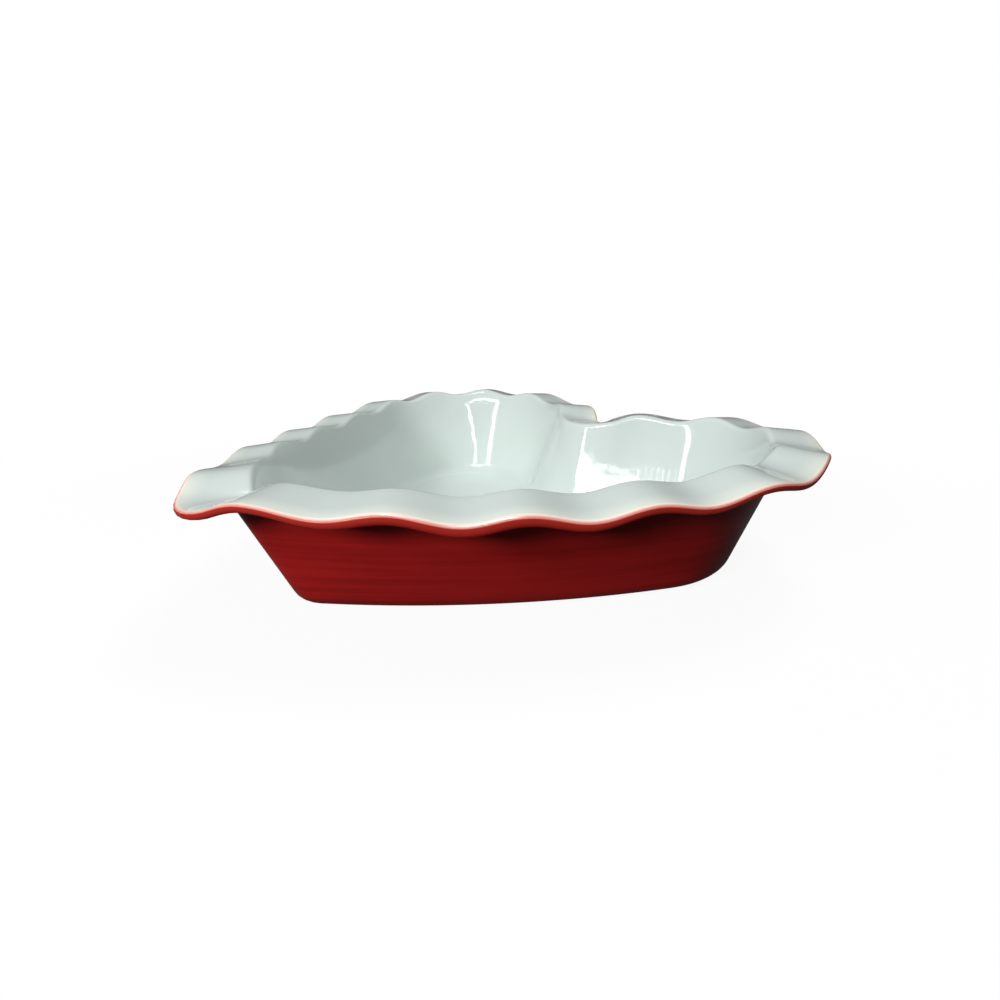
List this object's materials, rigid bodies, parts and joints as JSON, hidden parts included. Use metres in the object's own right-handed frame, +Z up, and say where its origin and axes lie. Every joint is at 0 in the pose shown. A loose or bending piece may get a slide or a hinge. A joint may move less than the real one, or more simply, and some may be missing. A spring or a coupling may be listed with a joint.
{
  "type": "heart-shaped baking dish",
  "caption": "Heart-shaped glazed stoneware baking dish with a sloping wall, flat floor and wide ruffled rim, white inside and red outside, for baking in an oven and serving.",
  "frame": {"origin": "on the table, under the middle of the dish's box", "axes": "+X across the two lobes, +Y from the heart's tip to its notch, +Z up"},
  "size_m": [0.2658, 0.2402, 0.057],
  "materials": {
    "fired_clay": "bare, matt",
    "white_glaze": "glossy",
    "red_glaze": "glossy"
  },
  "bodies": {
    "root": {"stoneware_body": "fired_clay", "white_inner_glaze": "white_glaze", "red_outer_glaze": "red_glaze", "red_base_glaze": "red_glaze"}
  },
  "joints": []
}
